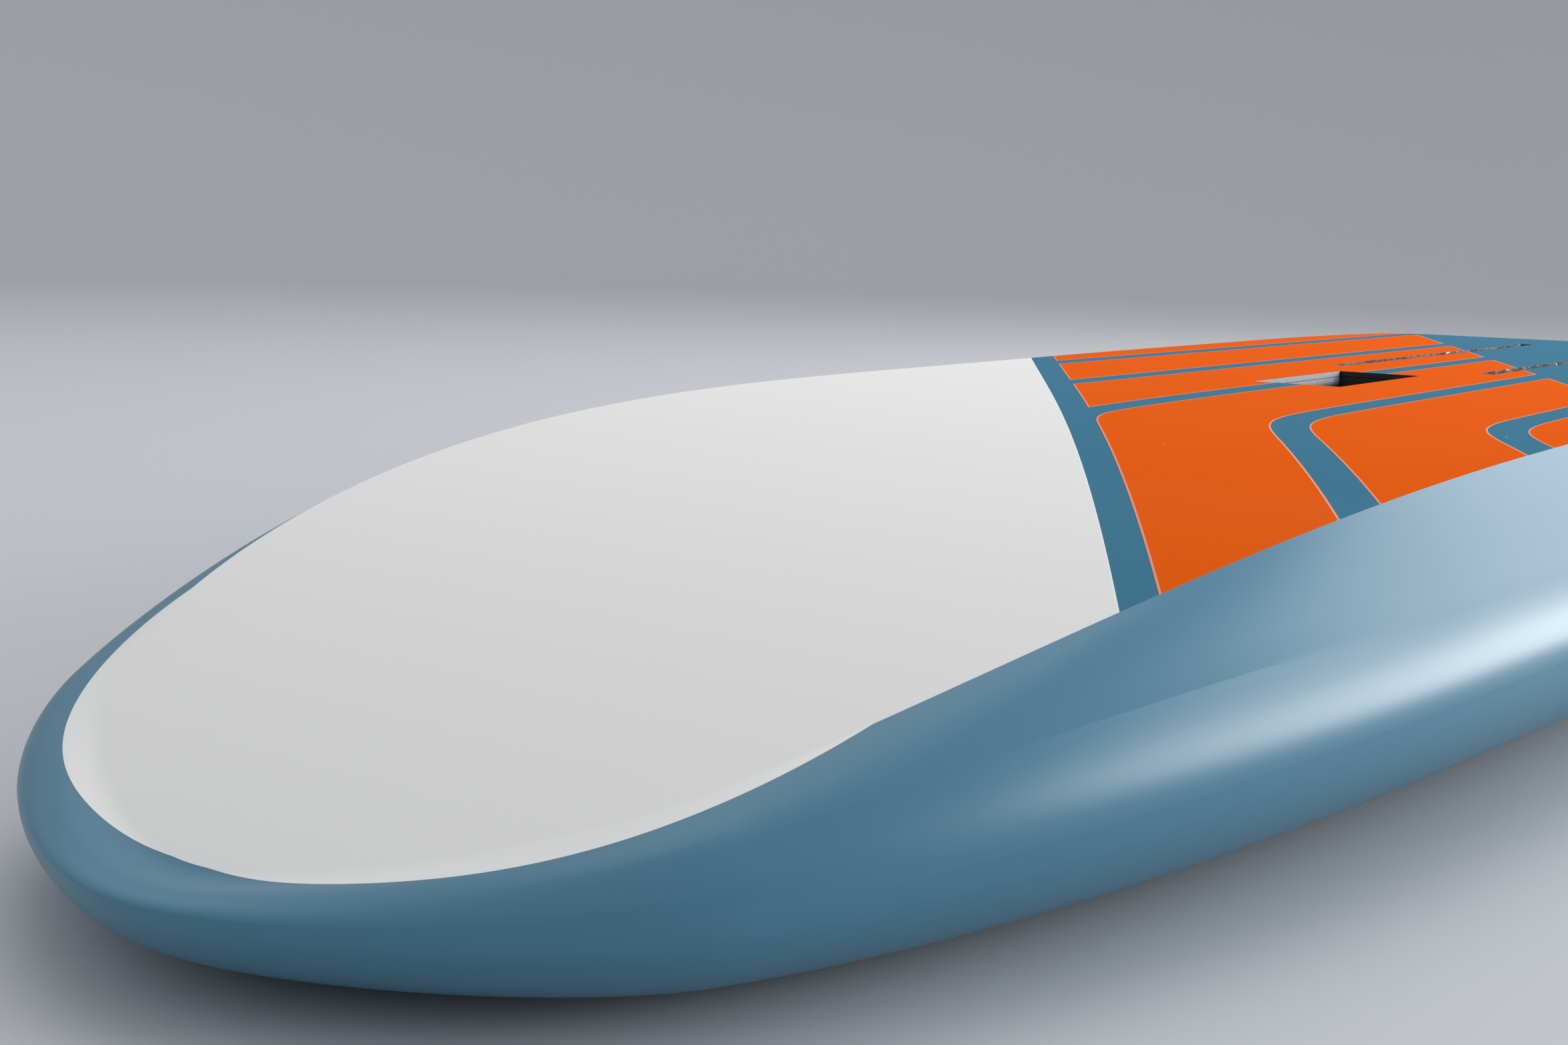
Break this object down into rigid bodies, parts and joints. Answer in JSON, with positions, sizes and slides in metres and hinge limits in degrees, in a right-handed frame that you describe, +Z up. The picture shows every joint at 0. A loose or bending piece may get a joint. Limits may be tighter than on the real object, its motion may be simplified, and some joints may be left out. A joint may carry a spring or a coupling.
{
  "type": "foil board with twin foil tracks",
  "caption": "Short thick foil board, bottom up: rounded white nose with a blue rim, orange stripes on blue-green, handle recess and twin foil tracks.",
  "frame": {"origin": "centre of the bounding box's base, on the plane of the deck pads", "axes": "X from nose to tail along the board, Y to the port rail as the board lies bottom up, Z up from the deck pads to the bottom"},
  "size_m": [1.6, 0.5358, 0.115],
  "materials": {
    "hull_paint": "glossy orange racing stripes on blue-green, satin white nose field, satin blue rails, sprayed over laminate",
    "deck_paint": "satin sprayed laminate",
    "foam": "fine closed-cell polystyrene",
    "stringer_laminate": "fibre and resin web",
    "dense_foam": "dense structural foam",
    "handle_moulding": "moulded, light grey upper walls and a dark floor",
    "track_moulding": "moulded, dark inside with worn edges",
    "nut_metal": "machined stainless",
    "fitting_black": "fine grained",
    "vent_screw": "smooth moulded",
    "seal": "soft matt",
    "membrane": "sintered white sheet",
    "stainless": "drawn bar",
    "pad_foam": "soft closed-cell foam sheet with a grooved face"
  },
  "bodies": {
    "board": {"bottom_shell": "hull_paint", "deck_shell": "deck_paint", "foam_core_centre": "foam", "foam_core_port": "foam", "foam_core_starboard": "foam", "stringer_port": "stringer_laminate", "stringer_starboard": "stringer_laminate", "foil_block": "dense_foam", "handle_collar": "dense_foam", "handle_cup": "handle_moulding", "track_box_port": "track_moulding", "track_box_starboard": "track_moulding", "vent_insert": "fitting_black", "vent_seal": "seal", "leash_cup": "fitting_black", "leash_pin": "stainless", "strap_inserts": "fitting_black", "deck_pad_front": "pad_foam", "deck_pad_middle": "pad_foam", "deck_pad_rear": "pad_foam"},
    "nut_port_front": {"track_nut_port_front": "nut_metal"},
    "nut_port_rear": {"track_nut_port_rear": "nut_metal"},
    "nut_starboard_front": {"track_nut_starboard_front": "nut_metal"},
    "nut_starboard_rear": {"track_nut_starboard_rear": "nut_metal"},
    "vent_plug": {"vent_screw": "vent_screw", "vent_membrane": "membrane"}
  },
  "joints": [
    {"name": "port_front_nut_slide", "type": "slide", "parent": "board", "child": "nut_port_front", "axis": [1, 0, 0], "range_m": [-0.11, 0.06]},
    {"name": "port_rear_nut_slide", "type": "slide", "parent": "board", "child": "nut_port_rear", "axis": [1, 0, 0], "range_m": [-0.075, 0.125]},
    {"name": "starboard_front_nut_slide", "type": "slide", "parent": "board", "child": "nut_starboard_front", "axis": [1, 0, 0], "range_m": [-0.11, 0.06]},
    {"name": "starboard_rear_nut_slide", "type": "slide", "parent": "board", "child": "nut_starboard_rear", "axis": [1, 0, 0], "range_m": [-0.075, 0.125]},
    {"name": "vent_turn", "type": "hinge", "parent": "board", "child": "vent_plug", "pos_m": [-0.335, 0, 0.016], "axis": [0, 0, -1], "range_deg": [0, 180]}
  ]
}
